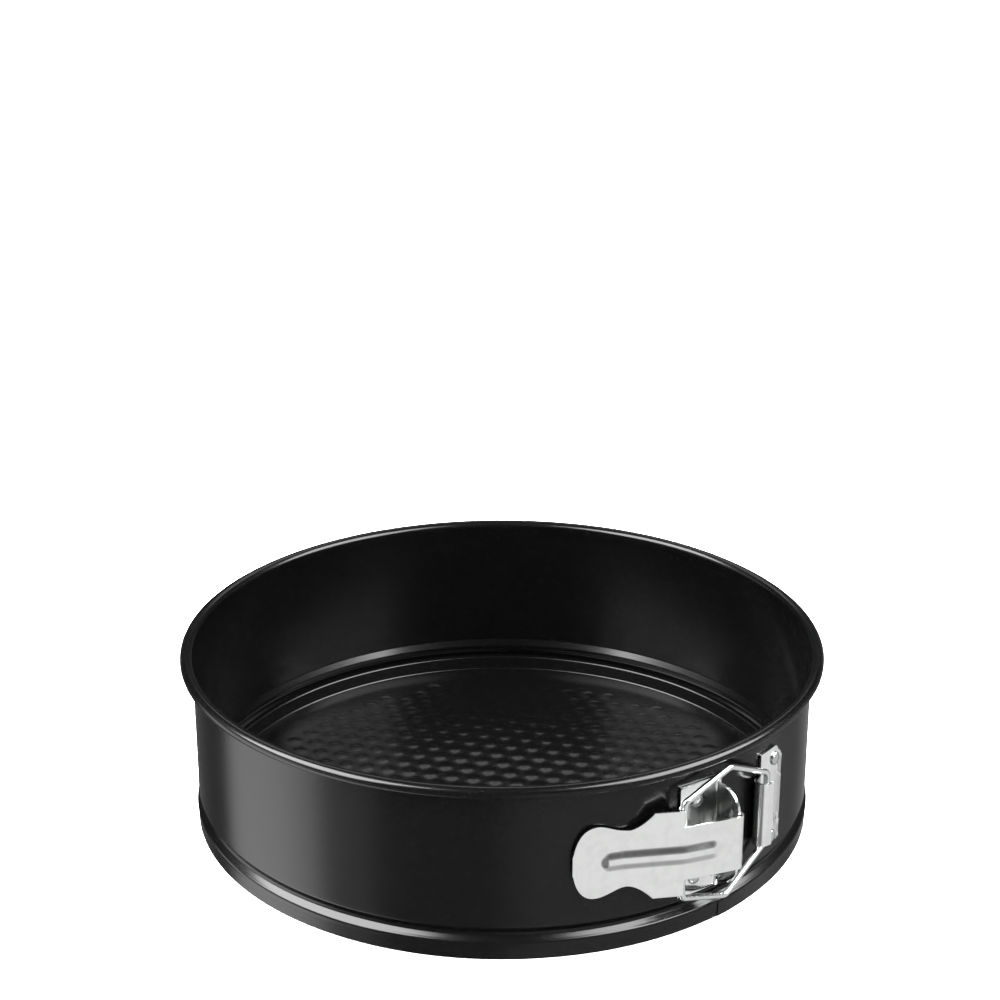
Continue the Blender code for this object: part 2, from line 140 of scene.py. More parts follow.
class Bench:
    """The modelling moves shared by the pieces."""

    @staticmethod
    def begin() -> None:
        """Leave edit mode and drop every selection."""
        if bpy.context.object is not None and bpy.context.object.mode != "OBJECT":
            bpy.ops.object.mode_set(mode="OBJECT")
        bpy.ops.object.select_all(action="DESELECT")

    @staticmethod
    def pick(piece: bpy.types.Object) -> None:
        """Make one object the only selected and active one."""
        Bench.begin()
        piece.select_set(True)
        bpy.context.view_layer.objects.active = piece

    @staticmethod
    def wire(name: str, points: Sequence[Vector], closed: bool = False) -> bpy.types.Object:
        """Draw a wire by extruding one vertex from point to point.

        Args:
            name: Name of the new object.
            points: The wire's points in millimetres.
            closed: Whether the last point joins the first.

        Returns:
            The wire, in object mode.
        """
        Bench.begin()
        bpy.ops.mesh.primitive_plane_add(size=MM)
        piece = bpy.context.object
        piece.name = name
        bpy.ops.object.mode_set(mode="EDIT")
        bpy.ops.mesh.select_all(action="SELECT")
        bpy.ops.mesh.merge(type="CENTER")
        bpy.ops.transform.translate(value=points[0] * MM)
        for here, there in zip(points, points[1:]):
            bpy.ops.mesh.extrude_region_move(TRANSFORM_OT_translate={"value": (there - here) * MM})
        bpy.ops.object.mode_set(mode="OBJECT")
        if closed:
            last = len(piece.data.vertices) - 1
            for vertex in piece.data.vertices:
                vertex.select = vertex.index in (0, last)
            bpy.ops.object.mode_set(mode="EDIT")
            bpy.ops.mesh.edge_face_add()
            bpy.ops.object.mode_set(mode="OBJECT")
        return piece

    @staticmethod
    def turn(piece: bpy.types.Object, steps: int) -> None:
        """Spin a wire a full turn about Z and close its seam and poles."""
        Bench.pick(piece)
        bpy.ops.object.mode_set(mode="EDIT")
        bpy.ops.mesh.select_all(action="SELECT")
        bpy.ops.mesh.spin(steps=steps, angle=math.tau, center=(0, 0, 0), axis=(0, 0, 1))
        bpy.ops.mesh.select_all(action="SELECT")
        bpy.ops.mesh.remove_doubles(threshold=1e-6)
        bpy.ops.object.mode_set(mode="OBJECT")

    @staticmethod
    def blank(name: str, columns: int, rows: int, place: Callable[[int, int], Vector]) -> bpy.types.Object:
        """Start from a grid primitive and move each crossing to its place.

        Args:
            name: Name of the new object.
            columns: Crossings along the sheet.
            rows: Crossings across it.
            place: Gives the place in millimetres of a column and row.

        Returns:
            The shaped sheet.
        """
        Bench.begin()
        bpy.ops.mesh.primitive_grid_add(x_subdivisions=columns - 1, y_subdivisions=rows - 1, size=1.0)
        piece = bpy.context.object
        piece.name = name
        for vertex in piece.data.vertices:
            column = round((vertex.co.x + 0.5) * (columns - 1))
            row = round((vertex.co.y + 0.5) * (rows - 1))
            vertex.co = place(column, row) * MM
        return piece

    @staticmethod
    def choose(piece: bpy.types.Object, wanted: Callable[[Vector], bool]) -> None:
        """Enter edit mode with only the wanted faces selected, by their middles in millimetres."""
        Bench.pick(piece)
        bpy.ops.object.mode_set(mode="EDIT")
        bpy.ops.mesh.select_mode(type="FACE")
        bpy.ops.mesh.select_all(action="DESELECT")
        bpy.ops.object.mode_set(mode="OBJECT")
        for face in piece.data.polygons:
            face.select = wanted(face.center / MM)
        bpy.ops.object.mode_set(mode="EDIT")

    @staticmethod
    def cut_away(piece: bpy.types.Object, wanted: Callable[[Vector], bool]) -> None:
        """Remove the faces whose middles are wanted."""
        Bench.choose(piece, wanted)
        bpy.ops.mesh.delete(type="FACE")
        bpy.ops.mesh.select_mode(type="VERT")
        bpy.ops.object.mode_set(mode="OBJECT")

    @staticmethod
    def face_out(piece: bpy.types.Object, outward: Callable[[Vector], Vector]) -> None:
        """Flip a sheet if most of its faces look the wrong way.

        Args:
            piece: An evenly wound sheet or body.
            outward: Gives the wanted direction at a place in metres.
        """
        total = sum(face.normal.dot(outward(face.center)) * face.area for face in piece.data.polygons)
        if total < 0.0:
            Bench.pick(piece)
            bpy.ops.object.mode_set(mode="EDIT")
            bpy.ops.mesh.select_all(action="SELECT")
            bpy.ops.mesh.flip_normals()
            bpy.ops.object.mode_set(mode="OBJECT")

    @staticmethod
    def modify(piece: bpy.types.Object, kind: str, **settings: object) -> None:
        """Add one modifier with its settings and apply it."""
        Bench.pick(piece)
        modifier = piece.modifiers.new(kind.lower(), kind)
        for key, value in settings.items():
            setattr(modifier, key, value)
        bpy.ops.object.modifier_apply(modifier=modifier.name)

    @staticmethod
    def thicken(piece: bpy.types.Object, thickness: float, edge: float, even: bool = True) -> None:
        """Give a sheet its thickness behind its face, and ease its cut edges.

        Args:
            piece: The sheet.
            thickness: Sheet thickness in millimetres.
            edge: Width of the eased edge in millimetres, or 0 for none.
            even: Whether to hold the thickness at corners too.
        """
        Bench.modify(piece, "SOLIDIFY", thickness=thickness * MM, offset=-1.0, use_even_offset=even)
        if edge > 0.0:
            Bench.modify(
                piece, "BEVEL", width=edge * MM, segments=2, limit_method="ANGLE",
                angle_limit=math.radians(50.0), use_clamp_overlap=True)

    @staticmethod
    def finish(piece: bpy.types.Object, angle: float = 38.0) -> bpy.types.Object:
        """Shade a piece smooth up to an angle, with its place in its mesh."""
        Bench.pick(piece)
        bpy.ops.object.transform_apply(location=True, rotation=True, scale=True)
        bpy.ops.object.shade_smooth_by_angle(angle=math.radians(angle))
        return piece


class Sock:
    """A shader socket that can be used in Python sums."""

    def __init__(self, tree: bpy.types.NodeTree, socket: bpy.types.NodeSocket) -> None:
        """Keep a socket together with its tree."""
        self.tree = tree
        self.socket = socket

    def _math(self, operation: str, first: object, second: object) -> "Sock":
        """Add one Math node for two values or sockets."""
        node = self.tree.nodes.new("ShaderNodeMath")
        node.operation = operation
        for slot, value in enumerate((first, second)):
            if isinstance(value, Sock):
                self.tree.links.new(value.socket, node.inputs[slot])
            else:
                node.inputs[slot].default_value = value
        return Sock(self.tree, node.outputs[0])

    def __add__(self, other: object) -> "Sock":
        """Sum."""
        return self._math("ADD", self, other)

    def __radd__(self, other: object) -> "Sock":
        """Sum with the number first."""
        return self._math("ADD", other, self)

    def __sub__(self, other: object) -> "Sock":
        """Difference."""
        return self._math("SUBTRACT", self, other)

    def __rsub__(self, other: object) -> "Sock":
        """Difference with the number first."""
        return self._math("SUBTRACT", other, self)

    def __mul__(self, other: object) -> "Sock":
        """Product."""
        return self._math("MULTIPLY", self, other)

    def __rmul__(self, other: object) -> "Sock":
        """Product with the number first."""
        return self._math("MULTIPLY", other, self)


class Graph:
    """One node tree being written."""

    def __init__(self, tree: bpy.types.NodeTree) -> None:
        """Start from an empty tree."""
        self.tree = tree
        tree.nodes.clear()

    def node(self, kind: str, settings: dict[str, object] | None = None,
             inputs: dict[str | int, object] | None = None, output: str | int = 0) -> Sock:
        """Add a node, set it up and link it.

        Args:
            kind: Node type.
            settings: Node properties; "stops" fills a colour ramp.
            inputs: Values or sockets by input name or number.
            output: Which output to hand back.

        Returns:
            The chosen output.
        """
        made = self.tree.nodes.new(kind)
        for key, value in (settings or {}).items():
            if key == "stops":
                self._stops(made.color_ramp, value)
            else:
                setattr(made, key, value)
        for key, value in (inputs or {}).items():
            target = made.inputs[key]
            if isinstance(value, Sock):
                self.tree.links.new(value.socket, target)
            else:
                target.default_value = value
        return Sock(self.tree, made.outputs[output]) if len(made.outputs) else Sock(self.tree, None)

    @staticmethod
    def _stops(ramp: bpy.types.ColorRamp, stops: Sequence[tuple[float, float]]) -> None:
        """Fill a ramp with grey stops of position and level."""
        while len(ramp.elements) > 1:
            ramp.elements.remove(ramp.elements[-1])
        ramp.elements[0].position = stops[0][0]
        ramp.elements[0].color = (stops[0][1],) * 3 + (1.0,)
        for position, level in stops[1:]:
            ramp.elements.new(position).color = (level,) * 3 + (1.0,)


class Coat(Enum):
    """Which coated part a non-stick finish is for."""

    BAND = "band_coating"
    TRAY = "tray_coating"


@dataclass(frozen=True)
class NonStick:
    """Semi-gloss black baked-on coating with a fine orange peel and a few pale flecks."""

    coat: Coat
    base: tuple[float, float, float] = (0.0009, 0.0009, 0.00095)
    fleck: tuple[float, float, float] = (0.030, 0.030, 0.029)
    roughness: float = 0.19
    specular: float = 0.19
    peel_scale: float = 900.0
    grain_scale: float = 4200.0
    drift_scale: float = 22.0
    speck_scale: float = 650.0

    def make(self) -> bpy.types.Material:
        """Write the material and hand it back."""
        material = bpy.data.materials.new(self.coat.value)
        material.use_nodes = True
        graph = Graph(material.node_tree)
        place = graph.node("ShaderNodeTexCoord", output="Object")
        peel, grain, drift = (
            graph.node("ShaderNodeTexNoise", inputs={"Vector": place, "Scale": scale, "Detail": detail})
            for scale, detail in ((self.peel_scale, 2.0), (self.grain_scale, 1.0), (self.drift_scale, 3.0)))
        specks = graph.node(
            "ShaderNodeTexVoronoi", inputs={"Vector": place, "Scale": self.speck_scale}, output="Distance")
        mask = graph.node(
            "ShaderNodeValToRGB", {"stops": ((0.0, 1.0), (0.07, 0.6), (0.11, 0.0))}, {"Fac": specks})
        colour = graph.node(
            "ShaderNodeMix", {"data_type": "RGBA"},
            {"Factor": mask * drift, "A": (*self.base, 1.0), "B": (*self.fleck, 1.0)}, output=2)
        rough = self.roughness - 0.05 + drift * 0.07 + grain * 0.05 + mask * 0.05
        height = peel * 0.6 + grain * 0.4
        bump = graph.node(
            "ShaderNodeBump", inputs={"Height": height, "Strength": 0.16, "Distance": 0.00004})
        shader = graph.node("ShaderNodeBsdfPrincipled", inputs={
            "Base Color": colour, "Roughness": rough, "Normal": bump,
            "Specular IOR Level": self.specular})
        graph.node("ShaderNodeOutputMaterial", inputs={"Surface": shader})
        return material


@dataclass(frozen=True)
class BrightSteel:
    """Plated steel, rolled or drawn along one direction, with faint streaks and dents."""

    name: str
    tint: tuple[float, float, float] = (0.80, 0.81, 0.80)
    roughness: float = 0.13
    stretch: tuple[float, float, float] = (0.12, 0.12, 1.0)
    wave: float = 0.00012
    streak_scale: float = 2600.0
    dent_scale: float = 95.0
    worn_scale: float = 260.0

    def make(self) -> bpy.types.Material:
        """Write the material and hand it back."""
        material = bpy.data.materials.new(self.name)
        material.use_nodes = True
        graph = Graph(material.node_tree)
        place = graph.node("ShaderNodeTexCoord", output="Object")
        along = graph.node("ShaderNodeMapping", inputs={"Vector": place, "Scale": self.stretch})
        streak, dents, worn = (
            graph.node("ShaderNodeTexNoise", inputs={"Vector": where, "Scale": scale, "Detail": detail})
            for where, scale, detail in (
                (along, self.streak_scale, 2.0), (place, self.dent_scale, 2.0),
                (place, self.worn_scale, 4.0)))
        dull = graph.node("ShaderNodeValToRGB", {"stops": ((0.42, 0.0), (0.72, 1.0))}, {"Fac": worn})
        dark = tuple(channel * 0.86 for channel in self.tint)
        colour = graph.node(
            "ShaderNodeMix", {"data_type": "RGBA"},
            {"Factor": dull * 0.5, "A": (*self.tint, 1.0), "B": (*dark, 1.0)}, output=2)
        rough = self.roughness - 0.04 + streak * 0.06 + dull * 0.06
        fine = graph.node(
            "ShaderNodeBump", inputs={"Height": streak, "Strength": 0.12, "Distance": 0.00002})
        broad = graph.node("ShaderNodeBump", inputs={
            "Height": dents, "Strength": 0.35, "Distance": self.wave, "Normal": fine})
        shader = graph.node("ShaderNodeBsdfPrincipled", inputs={
            "Base Color": colour, "Roughness": rough, "Normal": broad, "Metallic": 1.0})
        graph.node("ShaderNodeOutputMaterial", inputs={"Surface": shader})
        return material


class PlanPath:
    """A path in plan, as x and distance outward, that a flat sheet is bent along."""

    def __init__(self, points: Sequence[Vector], side: float) -> None:
        """Keep the points and which side of the heading the sheet's face looks to."""
        self.points = [Vector(point) for point in points]
        self.side = side
        self.lengths = [0.0]
        for here, there in zip(self.points, self.points[1:]):
            self.lengths.append(self.lengths[-1] + (there - here).length)

    @property
    def length(self) -> float:
        """The path's whole length."""
        return self.lengths[-1]

    def at(self, distance: float) -> tuple[Vector, Vector]:
        """The place and face direction at a distance along the path.

        Args:
            distance: Millimetres from the path's start.

        Returns:
            The point in plan, and the unit vector the face looks along.
        """
        distance = min(self.length, max(0.0, distance))
        index = max(i for i, length in enumerate(self.lengths[:-1]) if length <= distance + 1e-9)
        here, there = self.points[index], self.points[index + 1]
        share = (distance - self.lengths[index]) / (there - here).length
        heading = self._heading(index).lerp(self._heading(index + 1), share).normalized()
        return here.lerp(there, share), Vector((heading.y, -heading.x)) * self.side

    def _heading(self, index: int) -> Vector:
        """The heading at a point, averaged from the sides that meet there."""
        before = self.points[max(0, index - 1)]
        after = self.points[min(len(self.points) - 1, index + 1)]
        return (after - before).normalized()


@dataclass
class PressedSheet:
    """A flat blank with a shaped outline, bent along a plan path."""

    name: str
    path: PlanPath
    stations: list[float]
    zones: list[tuple[Callable[[float], float], int]]
    thickness: float
    edge: float = 0.2
    relief: Callable[[float, float], float] = field(default=lambda along, up: 0.0)
    waste: Callable[[float, float], bool] = field(default=lambda along, up: False)
    trim: Callable[[float, int], float] = field(default=lambda along, row: 0.0)

    def row_height(self, along: float, row: int) -> float:
        """Height over the latch's centre of a row, counted from the middle row outward."""
        low, left = 0.0, abs(row)
        for limit, count in self.zones:
            high = max(low + 0.05, limit(along))
            if left <= count:
                height = low + (high - low) * left / count
                return math.copysign(min(height, high - self.trim(along, row)), row)
            low, left = high, left - count
        return math.copysign(low, row)

    def build(self) -> bpy.types.Object:
        """Shape the blank, trim its steps and bend it."""
        half_rows = sum(count for _, count in self.zones)

        def place(column: int, row: int) -> Vector:
            """Where a crossing lies on the flat blank."""
            along = self.stations[column]
            return Vector((along, self.row_height(along, row - half_rows), 0.0))

        piece = Bench.blank(self.name, len(self.stations), 2 * half_rows + 1, place)
        Bench.cut_away(piece, lambda middle: self.waste(middle.x, abs(middle.y)))
        for vertex in piece.data.vertices:
            along, up, _ = vertex.co / MM
            point, face = self.path.at(along)
            point = point + face * self.relief(along, up)
            vertex.co = Vector((point.x, -point.y, LATCH_Z + up)) * MM
        middle, face = self.path.at(self.stations[len(self.stations) // 2])
        wanted = Vector((face.x, -face.y, 0.0))
        near = Vector((middle.x, -middle.y, 0.0)) * MM
        Bench.face_out(piece, lambda centre: wanted if (centre.xy - near.xy).length < 3.0 * MM else Vector())
        return piece

    def close(self, piece: bpy.types.Object) -> bpy.types.Object:
        """Thicken and finish the bent blank."""
        Bench.thicken(piece, self.thickness, self.edge)
        return Bench.finish(piece)


def spread(breaks: Sequence[float], pitch: float) -> list[float]:
    """Stations that hit every break and are no further apart than a pitch."""
    stations = [breaks[0]]
    for low, high in zip(breaks, breaks[1:]):
        count = max(1, math.ceil((high - low) / pitch - 1e-6))
        stations += [low + (high - low) * (index + 1) / count for index in range(count)]
    return stations


@dataclass
class TrayBase:
    """The loose base: a dimpled sunk floor, an upright side and the flange under the ridge."""

    floor_r: float = 114.3
    flange_r: float = 118.0
    flange_z: float = 6.0
    sheet: float = 0.65
    field_r: float = 104.0
    pitch: float = 9.0
    dimple_r: float = 2.85
    dimple_rise: float = 0.3
    lattice_deg: float = -22.6
    crown: tuple[tuple[float, float], ...] = ((0.78, 0.62), (0.42, 0.96))
    ring_r: float = 109.0
    steps: int = 240

    def side_profile(self) -> list[Vector]:
        """The sheet's upper face from the floor's plain border out to the flange."""
        corners = [
            Vector((self.ring_r, 0.0, self.sheet)),
            Vector((self.floor_r, 0.0, self.sheet)),
            Vector((self.floor_r + 1.5, 0.0, self.flange_z)),
            Vector((self.flange_r, 0.0, self.flange_z)),
        ]
        return rounded(corners, 0.9, 5)

    def cell(self) -> bpy.types.Object:
        """One six-sided piece of floor with a round pressed dimple in it."""
        sides = 12
        apothem = self.pitch / 2.0
        Bench.begin()
        bpy.ops.mesh.primitive_circle_add(vertices=sides, radius=self.dimple_r * MM, fill_type="NGON")
        cell = bpy.context.object
        for vertex in cell.data.vertices:
            angle = math.atan2(vertex.co.y, vertex.co.x)
            off_side = angle % math.radians(60.0) - math.radians(30.0)
            vertex.co = vertex.co.normalized() * (apothem / math.cos(off_side)) * MM
        bpy.ops.object.mode_set(mode="EDIT")
        bpy.ops.mesh.select_all(action="SELECT")
        inset = (apothem - self.dimple_r) * MM
        bpy.ops.mesh.inset(thickness=inset, use_even_offset=False)
        bpy.ops.object.mode_set(mode="OBJECT")
        self._round_top(cell, self.dimple_r, 0.0)
        for radius, rise in self.crown:
            bpy.ops.object.mode_set(mode="EDIT")
            bpy.ops.mesh.inset(thickness=0.0004)
            bpy.ops.object.mode_set(mode="OBJECT")
            self._round_top(cell, self.dimple_r * radius, self.dimple_rise * rise)
        return cell

    @staticmethod
    def _round_top(cell: bpy.types.Object, radius: float, rise: float) -> None:
        """Put the selected face's corners on a circle at a height."""
        for vertex in cell.data.vertices:
            if vertex.select:
                flat = Vector((vertex.co.x, vertex.co.y, 0.0)).normalized() * radius * MM
                vertex.co = Vector((flat.x, flat.y, rise * MM))

    def dimpled_floor(self) -> bpy.types.Object:
        """Lay the cells out in staggered rows over the round field and weld them."""
        cell = self.cell()
        row_pitch = self.pitch * math.sqrt(3.0) / 2.0
        count = math.ceil(self.field_r / row_pitch)
        copies = []
        for row in range(-count, count + 1):
            shift = 0.5 * (row % 2)
            for column in range(-count - 1, count + 2):
                centre = Vector((row * row_pitch, (column + shift) * self.pitch, 0.0))
                if centre.length < self.field_r - 0.5 * self.pitch:
                    copy = cell.copy()
                    copy.data = cell.data.copy()
                    copy.location = centre * MM
                    bpy.context.scene.collection.objects.link(copy)
                    copies.append(copy)
        bpy.data.objects.remove(cell, do_unlink=True)
        Bench.begin()
        for copy in copies:
            copy.select_set(True)
        bpy.context.view_layer.objects.active = copies[0]
        bpy.ops.object.join()
        floor = bpy.context.object
        bpy.ops.object.transform_apply(location=True, rotation=True, scale=True)
        bpy.ops.object.mode_set(mode="EDIT")
        bpy.ops.mesh.select_all(action="SELECT")
        bpy.ops.mesh.remove_doubles(threshold=0.00005)
        bpy.ops.transform.translate(value=(0.0, 0.0, self.sheet * MM))
        bpy.ops.transform.rotate(
            value=math.radians(-self.lattice_deg), orient_axis="Z", center_override=(0.0, 0.0, 0.0))
        bpy.ops.object.mode_set(mode="OBJECT")
        return floor

    def build(self) -> bpy.types.Object:
        """Join floor and side into one pressed sheet."""
        side = Bench.wire("side", self.side_profile())
        Bench.turn(side, self.steps)
        floor = self.dimpled_floor()
        Bench.pick(floor)
        side.select_set(True)
        bpy.ops.object.join()
        tray = bpy.context.object
        tray.name = "tray_base"
        bpy.ops.object.mode_set(mode="EDIT")
        bpy.ops.mesh.select_all(action="DESELECT")
        bpy.ops.mesh.select_mode(type="EDGE")
        bpy.ops.mesh.select_non_manifold(
            extend=False, use_wire=False, use_boundary=True, use_multi_face=False,
            use_non_contiguous=False, use_verts=False)
        bpy.ops.object.mode_set(mode="OBJECT")
        keep = (self.ring_r + 1.0) * MM
        for edge in tray.data.edges:
            ends = [tray.data.vertices[index].co for index in edge.vertices]
            if max(end.xy.length for end in ends) > keep:
                edge.select = False
        bpy.ops.object.mode_set(mode="EDIT")
        bpy.ops.mesh.fill()
        bpy.ops.mesh.select_all(action="SELECT")
        bpy.ops.mesh.normals_make_consistent(inside=False)
        bpy.ops.mesh.select_mode(type="VERT")
        bpy.ops.object.mode_set(mode="OBJECT")
        Bench.face_out(tray, lambda centre: Vector((0.0, 0.0, 1.0)))
        Bench.thicken(tray, self.sheet - 0.02, 0.0, even=False)
        return Bench.finish(tray, 50.0)


@dataclass
class Band:
    """The springy band, made flat as the strip it is cut from and then rolled up.

    Turning starts inside the overlap at the latch and runs once round and on past the seam.
    """

    sheet: float = 0.45
    flap_deg: float = -4.0
    tongue_deg: float = 20.0
    rim_starts: float = 17.0
    rim_centre: tuple[float, float] = (122.45, 67.2)
    rim_radii: tuple[float, float] = (2.55, 2.2)
    rim_z: float = 64.9
    joggle: float = 0.58
    skirt_lap: float = 0.35
    joggle_deg: float = 10.0
    flex_deg: tuple[float, float] = (125.0, 235.0)

    def profile(self) -> list[Vector]:
        """The sheet's face on the food side, from the rim's tucked edge down to the skirt's."""
        inner = WALL_R - self.sheet
        rim = arc(self.rim_centre, self.rim_radii, -142.0, 178.0, 30)
        corners = [
            Vector((inner, 65.0)), Vector((inner, 12.9)), Vector((118.35, 10.2)), Vector((118.35, 8.7)),
            Vector((119.9, 7.3)), Vector((120.65, 6.75)), Vector((120.5, 5.4)), Vector((120.3, 0.3)),
        ]
        wall = rounded(corners, 1.1, 5)
        straight = [Vector((inner, z)) for z in (58.0, 44.0, 30.0, 16.0)]
        return rim + [wall[0]] + straight + wall[1:]

    def rolled(self, turning: float, radius: float, z: float) -> Vector:
        """Where a point of the flat strip comes to lie.

        Args:
            turning: Degrees turned since the seam, up to past a full turn.
            radius: The profile's radius.
            z: The profile's height.

        Returns:
            The place in millimetres.
        """
        if z > self.rim_z and turning < 40.0:
            slim = 1.0 - 0.13 * (1.0 - smooth(self.tongue_deg + 1.0, self.tongue_deg + 14.0, turning))
            radius = self.rim_centre[0] + (radius - self.rim_centre[0]) * slim
            z = self.rim_centre[1] + (z - self.rim_centre[1]) * slim
        near_seam = 1.0 - smooth(0.5, self.joggle_deg, turning)
        wall_in, skirt_out = self.joggle * smooth(8.0, 14.0, z), self.skirt_lap * (1.0 - smooth(5.5, 8.0, z))
        inward = near_seam * (wall_in - skirt_out)
        return polar(radius - inward, turning, z)

    def build(self) -> bpy.types.Object:
        """Lay out the strip, cut its ends and roll it."""
        profile = self.profile()
        last_turn = 360.0 + self.tongue_deg
        columns = round(last_turn - self.flap_deg) + 1
        turns = [self.flap_deg + index for index in range(columns)]

        def flat(column: int, row: int) -> Vector:
            """A crossing of the unrolled strip: turning, radius and height."""
            point = profile[row]
            return Vector((turns[column], point.x, point.y))

        band = Bench.blank("band", columns, len(profile), flat)
        self._cut_ends(band, last_turn)
        turning = band.data.attributes.new("turning", "FLOAT", "POINT")
        for vertex in band.data.vertices:
            turning.data[vertex.index].value = vertex.co.x / MM
            vertex.co = self.rolled(*(vertex.co / MM)) * MM
        wall_top = 60.0 * MM
        Bench.face_out(
            band, lambda centre: Vector((-centre.x, -centre.y, 0.0)) if centre.z < wall_top else Vector())
        Bench.thicken(band, self.sheet, 0.0)
        Bench.finish(band, 40.0)
        return band

    def _cut_ends(self, band: bpy.types.Object, last_turn: float) -> None:
        """Trim the flap, the rim under the tongue and the sheet under the tongue."""
        def waste(middle: Vector) -> bool:
            """Whether a face of the unrolled strip is trimmed off."""
            turning, _, z = middle
            flap = turning < 0.0 and not 14.0 < z < 62.0
            hidden_rim = turning < self.rim_starts and z > self.rim_z - 0.4
            below_tongue = turning > last_turn - self.tongue_deg and z < self.rim_z
            return flap or hidden_rim or below_tongue

        Bench.cut_away(band, waste)

    def flex(self, band: bpy.types.Object) -> None:
        """Bend the strip round its back as the far half moves, so that only the ends travel whole."""
        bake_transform(band, "band", "band_far", start=(-0.09, 0.12, 0.03), end=(0.09, 0.12, 0.03))
        turning = band.data.attributes["turning"].data
        share = band.data.attributes["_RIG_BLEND"].data
        for index in range(len(share)):
            share[index].value = 1.0 - smooth(*self.flex_deg, turning[index].value)


@dataclass
class Bracket:
    """The riveted plate whose D-shaped ear carries the lever on its outer bar."""

    half: float = 22.0
    plate: float = 1.0
    start_deg: float = -9.3
    bend_deg: float = -2.6
    ear_x: float = -3.0
    ear_out: float = 131.95
    ear_half: float = 19.4
    corner: float = 8.5
    window: tuple[float, float, float] = (127.9, 129.6, 10.9)

    def build(self) -> bpy.types.Object:
        """Bend the blank, cut the window and finish it."""
        face_r = WALL_R + SEAT_GAP + self.plate
        along_wall = [
            Vector((face_r * math.sin(math.radians(a)), face_r * math.cos(math.radians(a))))
            for a in spread((self.start_deg, self.bend_deg), 1.0)]
        corner = Vector((self.ear_x, face_r * math.cos(math.radians(self.bend_deg)) + 0.02))
        tip = Vector((self.ear_x, self.ear_out))
        bend = rounded([along_wall[-1], corner, tip], 0.9, 5)
        path = PlanPath(along_wall[:-1] + bend, -1.0)
        to_out = path.length - self.ear_out
        ear_begins = to_out + 122.3

        def ear_height(along: float) -> float:
            """Half the ear's height, falling away round its outer corners."""
            rise = along - to_out - (132.0 - self.corner)
            if rise <= 0.0:
                return self.ear_half
            return self.ear_half - self.corner + math.sqrt(max(0.0, self.corner ** 2 - rise ** 2))

        def plate_height(along: float) -> float:
            """Half the blank's height: the plate's, then just over the ear's."""
            return self.half if along < ear_begins + 0.6 else ear_height(along) + 0.6

        cuts = [to_out + out for out in self.window[:2]]
        sheet = PressedSheet(
            "latch_bracket_plate", path, spread((0.0, ear_begins, cuts[0], cuts[1], path.length), 0.45),
            [(lambda along: self.window[2] - 0.6, 8), (lambda along: self.window[2], 1),
             (ear_height, 8), (plate_height, 3)],
            self.plate, waste=lambda along, up: along > ear_begins and up > ear_height(along))
        piece = sheet.build()
        self._cut_window(piece)
        return sheet.close(piece)

    def _cut_window(self, piece: bpy.types.Object) -> None:
        """Open the window that the lever's tongue passes through."""
        def waste(middle: Vector) -> bool:
            """Whether a face of the ear lies in the window."""
            inner, outer, half = self.window
            on_ear = abs(middle.x - self.ear_x) < 0.3
            return on_ear and inner < -middle.y < outer and abs(middle.z - LATCH_Z) < half

        Bench.cut_away(piece, waste)


